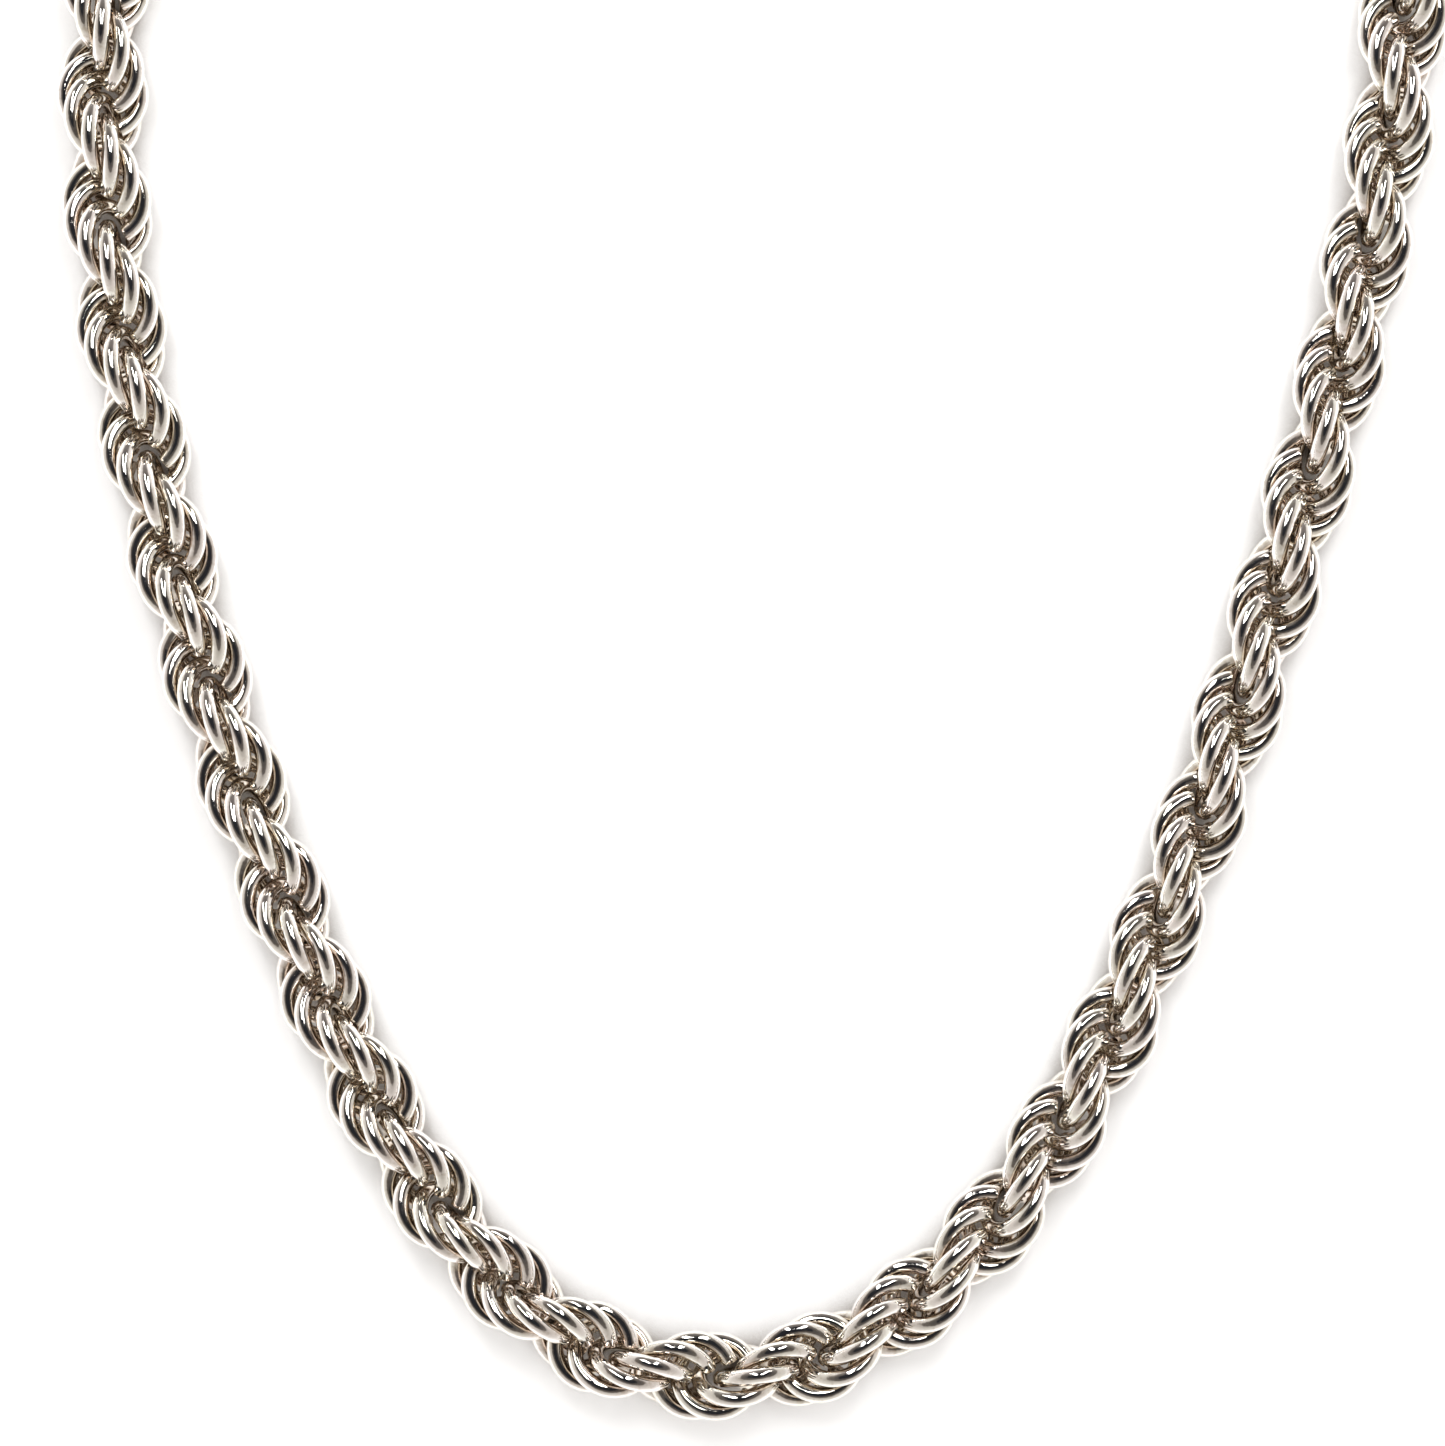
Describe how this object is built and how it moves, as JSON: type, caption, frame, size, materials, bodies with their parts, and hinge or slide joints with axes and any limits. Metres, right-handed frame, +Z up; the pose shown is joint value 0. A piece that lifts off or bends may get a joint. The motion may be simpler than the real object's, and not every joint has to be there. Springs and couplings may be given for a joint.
{
  "type": "chain necklace",
  "caption": "Heavy silver rope-chain necklace of round wire links in a left-hand twist, laid open, with end caps, catch ring and swivel lobster clasp.",
  "frame": {"origin": "middle of the necklace's outer box, on the surface it lies on", "axes": "+Z up from the surface, +Y from the front of the necklace towards the clasp, +X to the wearer's left"},
  "size_m": [0.1208, 0.1974, 0.009],
  "materials": {
    "chain_silver": "polished, lightly tarnished in the recesses",
    "clasp_silver": "polished",
    "spring_steel": "plain"
  },
  "bodies": {
    "left_chain_10": {"left_chain_10": "chain_silver", "left_end_cap": "clasp_silver", "left_cap_eye": "clasp_silver"},
    "left_chain_09": {"left_chain_09": "chain_silver"},
    "left_chain_08": {"left_chain_08": "chain_silver"},
    "left_chain_07": {"left_chain_07": "chain_silver"},
    "left_chain_06": {"left_chain_06": "chain_silver"},
    "left_chain_05": {"left_chain_05": "chain_silver"},
    "left_chain_04": {"left_chain_04": "chain_silver"},
    "left_chain_03": {"left_chain_03": "chain_silver"},
    "left_chain_02": {"left_chain_02": "chain_silver"},
    "left_chain_01": {"left_chain_01": "chain_silver"},
    "front_chain": {"front_chain": "chain_silver"},
    "right_chain_01": {"right_chain_01": "chain_silver"},
    "right_chain_02": {"right_chain_02": "chain_silver"},
    "right_chain_03": {"right_chain_03": "chain_silver"},
    "right_chain_04": {"right_chain_04": "chain_silver"},
    "right_chain_05": {"right_chain_05": "chain_silver"},
    "right_chain_06": {"right_chain_06": "chain_silver"},
    "right_chain_07": {"right_chain_07": "chain_silver"},
    "right_chain_08": {"right_chain_08": "chain_silver"},
    "right_chain_09": {"right_chain_09": "chain_silver"},
    "right_chain_10": {"right_chain_10": "chain_silver", "right_end_cap": "clasp_silver", "right_cap_eye": "clasp_silver"},
    "catch_ring": {"catch_ring": "clasp_silver"},
    "jump_ring": {"jump_ring": "clasp_silver"},
    "swivel": {"clasp_swivel": "clasp_silver"},
    "clasp": {"clasp_body": "clasp_silver", "trigger_rivet": "clasp_silver", "trigger_spring": "spring_steel"},
    "trigger": {"trigger_lever": "clasp_silver"}
  },
  "joints": [
    {"name": "right_bend_01", "type": "hinge", "parent": "front_chain", "child": "right_chain_01", "pos_m": [0.00672, -0.09284, 0.004], "axis": [0, 0, 1], "range_deg": [-5, 5]},
    {"name": "right_bend_02", "type": "hinge", "parent": "right_chain_01", "child": "right_chain_02", "pos_m": [0.02222, -0.08, 0.004], "axis": [0, 0, 1], "range_deg": [-5, 5]},
    {"name": "right_bend_03", "type": "hinge", "parent": "right_chain_02", "child": "right_chain_03", "pos_m": [0.03247, -0.06247, 0.004], "axis": [0, 0, 1], "range_deg": [-5, 5]},
    {"name": "right_bend_04", "type": "hinge", "parent": "right_chain_03", "child": "right_chain_04", "pos_m": [0.04003, -0.04358, 0.004], "axis": [0, 0, 1], "range_deg": [-5, 5]},
    {"name": "right_bend_05", "type": "hinge", "parent": "right_chain_04", "child": "right_chain_05", "pos_m": [0.04633, -0.02423, 0.004], "axis": [0, 0, 1], "range_deg": [-5, 5]},
    {"name": "right_bend_06", "type": "hinge", "parent": "right_chain_05", "child": "right_chain_06", "pos_m": [0.05174, -0.00462, 0.004], "axis": [0, 0, 1], "range_deg": [-5, 5]},
    {"name": "right_bend_07", "type": "hinge", "parent": "right_chain_06", "child": "right_chain_07", "pos_m": [0.05576, 0.01532, 0.004], "axis": [0, 0, 1], "range_deg": [-5, 5]},
    {"name": "right_bend_08", "type": "hinge", "parent": "right_chain_07", "child": "right_chain_08", "pos_m": [0.05595, 0.0356, 0.004], "axis": [0, 0, 1], "range_deg": [-5, 5]},
    {"name": "right_bend_09", "type": "hinge", "parent": "right_chain_08", "child": "right_chain_09", "pos_m": [0.05016, 0.05503, 0.004], "axis": [0, 0, 1], "range_deg": [-5, 5]},
    {"name": "right_bend_10", "type": "hinge", "parent": "right_chain_09", "child": "right_chain_10", "pos_m": [0.03894, 0.07192, 0.00435], "axis": [0, 0, 1], "range_deg": [-5, 5]},
    {"name": "left_bend_01", "type": "hinge", "parent": "front_chain", "child": "left_chain_01", "pos_m": [-0.01303, -0.09269, 0.004], "axis": [0, 0, 1], "range_deg": [-5, 5]},
    {"name": "left_bend_02", "type": "hinge", "parent": "left_chain_01", "child": "left_chain_02", "pos_m": [-0.02785, -0.07909, 0.004], "axis": [0, 0, 1], "range_deg": [-5, 5]},
    {"name": "left_bend_03", "type": "hinge", "parent": "left_chain_02", "child": "left_chain_03", "pos_m": [-0.03744, -0.06118, 0.004], "axis": [0, 0, 1], "range_deg": [-5, 5]},
    {"name": "left_bend_04", "type": "hinge", "parent": "left_chain_03", "child": "left_chain_04", "pos_m": [-0.04476, -0.0422, 0.004], "axis": [0, 0, 1], "range_deg": [-5, 5]},
    {"name": "left_bend_05", "type": "hinge", "parent": "left_chain_04", "child": "left_chain_05", "pos_m": [-0.05066, -0.02273, 0.004], "axis": [0, 0, 1], "range_deg": [-5, 5]},
    {"name": "left_bend_06", "type": "hinge", "parent": "left_chain_05", "child": "left_chain_06", "pos_m": [-0.05499, -0.00285, 0.004], "axis": [0, 0, 1], "range_deg": [-5, 5]},
    {"name": "left_bend_07", "type": "hinge", "parent": "left_chain_06", "child": "left_chain_07", "pos_m": [-0.05645, 0.01742, 0.004], "axis": [0, 0, 1], "range_deg": [-5, 5]},
    {"name": "left_bend_08", "type": "hinge", "parent": "left_chain_07", "child": "left_chain_08", "pos_m": [-0.05401, 0.03756, 0.004], "axis": [0, 0, 1], "range_deg": [-5, 5]},
    {"name": "left_bend_09", "type": "hinge", "parent": "left_chain_08", "child": "left_chain_09", "pos_m": [-0.0454, 0.0559, 0.004], "axis": [0, 0, 1], "range_deg": [-5, 5]},
    {"name": "left_bend_10", "type": "hinge", "parent": "left_chain_09", "child": "left_chain_10", "pos_m": [-0.03132, 0.07046, 0.00435], "axis": [0, 0, 1], "range_deg": [-5, 5]},
    {"name": "catch_ring_swing", "type": "hinge", "parent": "left_chain_10", "child": "catch_ring", "pos_m": [-0.01533, 0.083, 0.0045], "axis": [0, 0, 1], "range_deg": [-45, 45]},
    {"name": "jump_ring_swing", "type": "hinge", "parent": "right_chain_10", "child": "jump_ring", "pos_m": [0.02569, 0.08732, 0.0045], "axis": [0, 0, 1], "range_deg": [-45, 45]},
    {"name": "clasp_swing", "type": "hinge", "parent": "jump_ring", "child": "swivel", "pos_m": [0.02345, 0.08903, 0.00225], "axis": [0, 0, 1], "range_deg": [-40, 40]},
    {"name": "clasp_swivel_turn", "type": "hinge", "parent": "swivel", "child": "clasp", "pos_m": [0.01969, 0.09065, 0.00225], "axis": [-0.9184, 0.3955, 0], "continuous": true},
    {"name": "trigger_pull", "type": "hinge", "parent": "clasp", "child": "trigger", "pos_m": [0.01536, 0.09425, 0.00225], "axis": [0, 0, 1], "range_deg": [0, 22], "stiffness_Nm_per_rad": 0.002, "springref_deg": -5.73}
  ]
}
